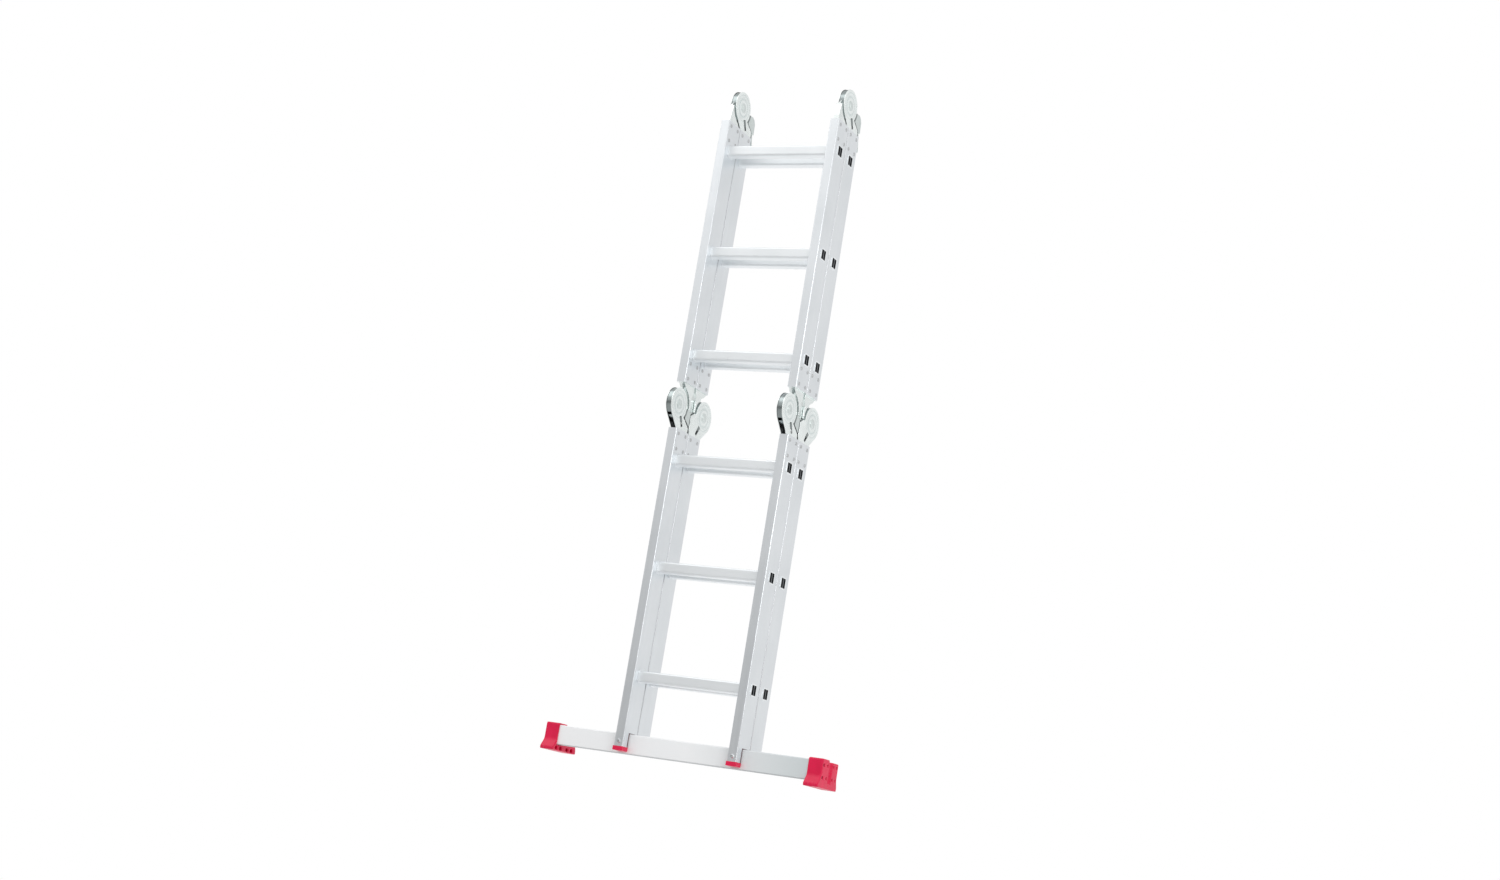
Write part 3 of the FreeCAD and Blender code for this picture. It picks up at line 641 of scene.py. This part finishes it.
def spring_mesh(name, pivot, along, steps=26, sides=10):
    across = along.cross(Vector((1, 0, 0)))
    form = bmesh.new()
    rings = []
    for i in range(SPRING_TURNS * steps + 1):
        centre, radial = coil_point(i / steps, across, along)
        ring = []
        for j in range(sides):
            angle = math.tau * j / sides
            spot = centre + (radial * math.cos(angle) + along * math.sin(angle)) * WIRE_R
            ring.append(form.verts.new(pivot + spot * MM))
        rings.append(ring)
    skin(form, rings)
    bmesh.ops.recalc_face_normals(form, faces=form.faces)
    return mesh_of(form, name)


for hinge, (body, rearward) in HINGES.items():
    low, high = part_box(hinge + "_pivots")
    hinge_x = high[0] - (PIN_REACH + HINGE_HALF) * MM
    along = Vector((0, rearward * math.cos(LOCK_ANGLE), math.sin(LOCK_ANGLE)))
    for side, sign in (("left", -1), ("right", 1)):
        pivot = Vector((sign * hinge_x, (low[1] + high[1]) / 2, (low[2] + high[2]) / 2))
        name = hinge + "_coil_" + side
        wire = spring_mesh(name, pivot, along)
        coil = piece(name, wire, body, SPRING, hinge + "_lock_spring_" + side)
        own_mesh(coil)

# ---- floor ----

HALF_FLOOR = 14.0
FLOOR_Z = -0.0005
FADE_FROM = 1.2
FADE_TO = 6.0


def floor_material():
    # pale studio floor, seen from above only, fading into the white backdrop
    shade = Shade("studio_floor")
    tone = shade.mix(shade.noise(0.6, (1, 1, 1), 2.0, 0.5, 1.0), rgb(0.93, 0.93, 0.93), rgb(0.96, 0.96, 0.96))
    shade.finish(tone, shade.remap(shade.noise(25.0), 0.3, 0.7, 0.55, 0.7), 0.0)
    under = shade.add("ShaderNodeNewGeometry").outputs["Backfacing"]
    reach = shade.add("ShaderNodeVectorMath")
    reach.operation = "LENGTH"
    shade.put(reach.inputs[0], shade.place)
    faded = shade.remap(reach.outputs["Value"], FADE_FROM, FADE_TO, 0.0, 1.0)
    both = shade.add("ShaderNodeMixShader")
    shade.put(both.inputs[0], shade.math("MAXIMUM", under, faded))
    shade.put(both.inputs[1], shade.shader.outputs["BSDF"])
    shade.put(both.inputs[2], shade.add("ShaderNodeBsdfTransparent").outputs["BSDF"])
    shade.put(shade.tree.nodes["Material Output"].inputs["Surface"], both.outputs["Shader"])
    return shade.material


corners = [(x * HALF_FLOOR, y * HALF_FLOOR, 0) for x, y in ((-1, -1), (1, -1), (1, 1), (-1, 1))]
floor_mesh = bpy.data.meshes.new("floor")
floor_mesh.from_pydata(corners, [], [(0, 1, 2, 3)])
floor_mesh.materials.append(floor_material())
floor = linked("floor", floor_mesh)
floor.location.z = FLOOR_Z
floor.visible_diffuse = False
floor.visible_glossy = False
floor.visible_transmission = False
floor.visible_shadow = False

# ---- world: a plain white backdrop for the camera, a soft studio gradient for everything else ----

# two limits of the direction's Z or Y, and the strengths there
FRONT_HIGH = (0.07, 0.24, 0.25, 0.92)
FRONT_LOW = (-0.24, -0.05, 0.70, 0.25)
BACK = (-0.12, 0.03, 1.0, 0.78)
FRONT_TO_BACK = (-0.35, 0.35, 0.0, 1.0)
WHITE = (1, 1, 1, 1)

world = bpy.data.worlds.new("studio")
scene.world = world
world.use_nodes = True
sky = world.node_tree
sky.nodes.clear()


def sky_node(kind):
    return sky.nodes.new(kind)


def sky_map(value, limits):
    node = sky_node("ShaderNodeMapRange")
    sky.links.new(value, node.inputs["Value"])
    for key, number in zip(("From Min", "From Max", "To Min", "To Max"), limits):
        node.inputs[key].default_value = number
    node.interpolation_type = "SMOOTHSTEP"
    return node.outputs["Result"]


def sky_light():
    light = sky_node("ShaderNodeBackground")
    light.inputs["Color"].default_value = WHITE
    return light


direction = sky_node("ShaderNodeSeparateXYZ")
sky.links.new(sky_node("ShaderNodeTexCoord").outputs["Generated"], direction.inputs["Vector"])
front = sky_node("ShaderNodeMath")
front.operation = "MAXIMUM"
sky.links.new(sky_map(direction.outputs["Z"], FRONT_HIGH), front.inputs[0])
sky.links.new(sky_map(direction.outputs["Z"], FRONT_LOW), front.inputs[1])
blend = sky_node("ShaderNodeMix")
sky.links.new(sky_map(direction.outputs["Y"], FRONT_TO_BACK), blend.inputs["Factor"])
sky.links.new(front.outputs["Value"], blend.inputs["A"])
sky.links.new(sky_map(direction.outputs["Z"], BACK), blend.inputs["B"])
studio = sky_light()
sky.links.new(blend.outputs["Result"], studio.inputs["Strength"])
plain = sky_light()
plain.inputs["Strength"].default_value = 1.0
seen = sky_node("ShaderNodeMixShader")
sky.links.new(sky_node("ShaderNodeLightPath").outputs["Is Camera Ray"], seen.inputs[0])
sky.links.new(studio.outputs["Background"], seen.inputs[1])
sky.links.new(plain.outputs["Background"], seen.inputs[2])
sky.links.new(seen.outputs["Shader"], sky_node("ShaderNodeOutputWorld").inputs["Surface"])

# ---- lights ----

MIDDLE = (0.0, 0.0, 0.9)
LOWER_PART = (0.0, 0.0, 0.3)


def area_light(name, place, target, size, power):
    data = bpy.data.lights.new(name, "AREA")
    data.shape = "RECTANGLE"
    data.size, data.size_y = size
    data.energy = power
    light = linked(name, data)
    light.location = place
    light.rotation_mode = "QUATERNION"
    light.rotation_quaternion = (Vector(target) - Vector(place)).to_track_quat("-Z", "Y")


area_light("key", (-2.2, -1.7, 4.0), MIDDLE, size=(2.4, 2.4), power=26.0)
area_light("fill", (2.9, -2.9, 1.5), LOWER_PART, size=(1.8, 1.8), power=36.0)
area_light("side", (3.6, 0.8, 2.2), MIDDLE, size=(1.6, 2.6), power=8.0)
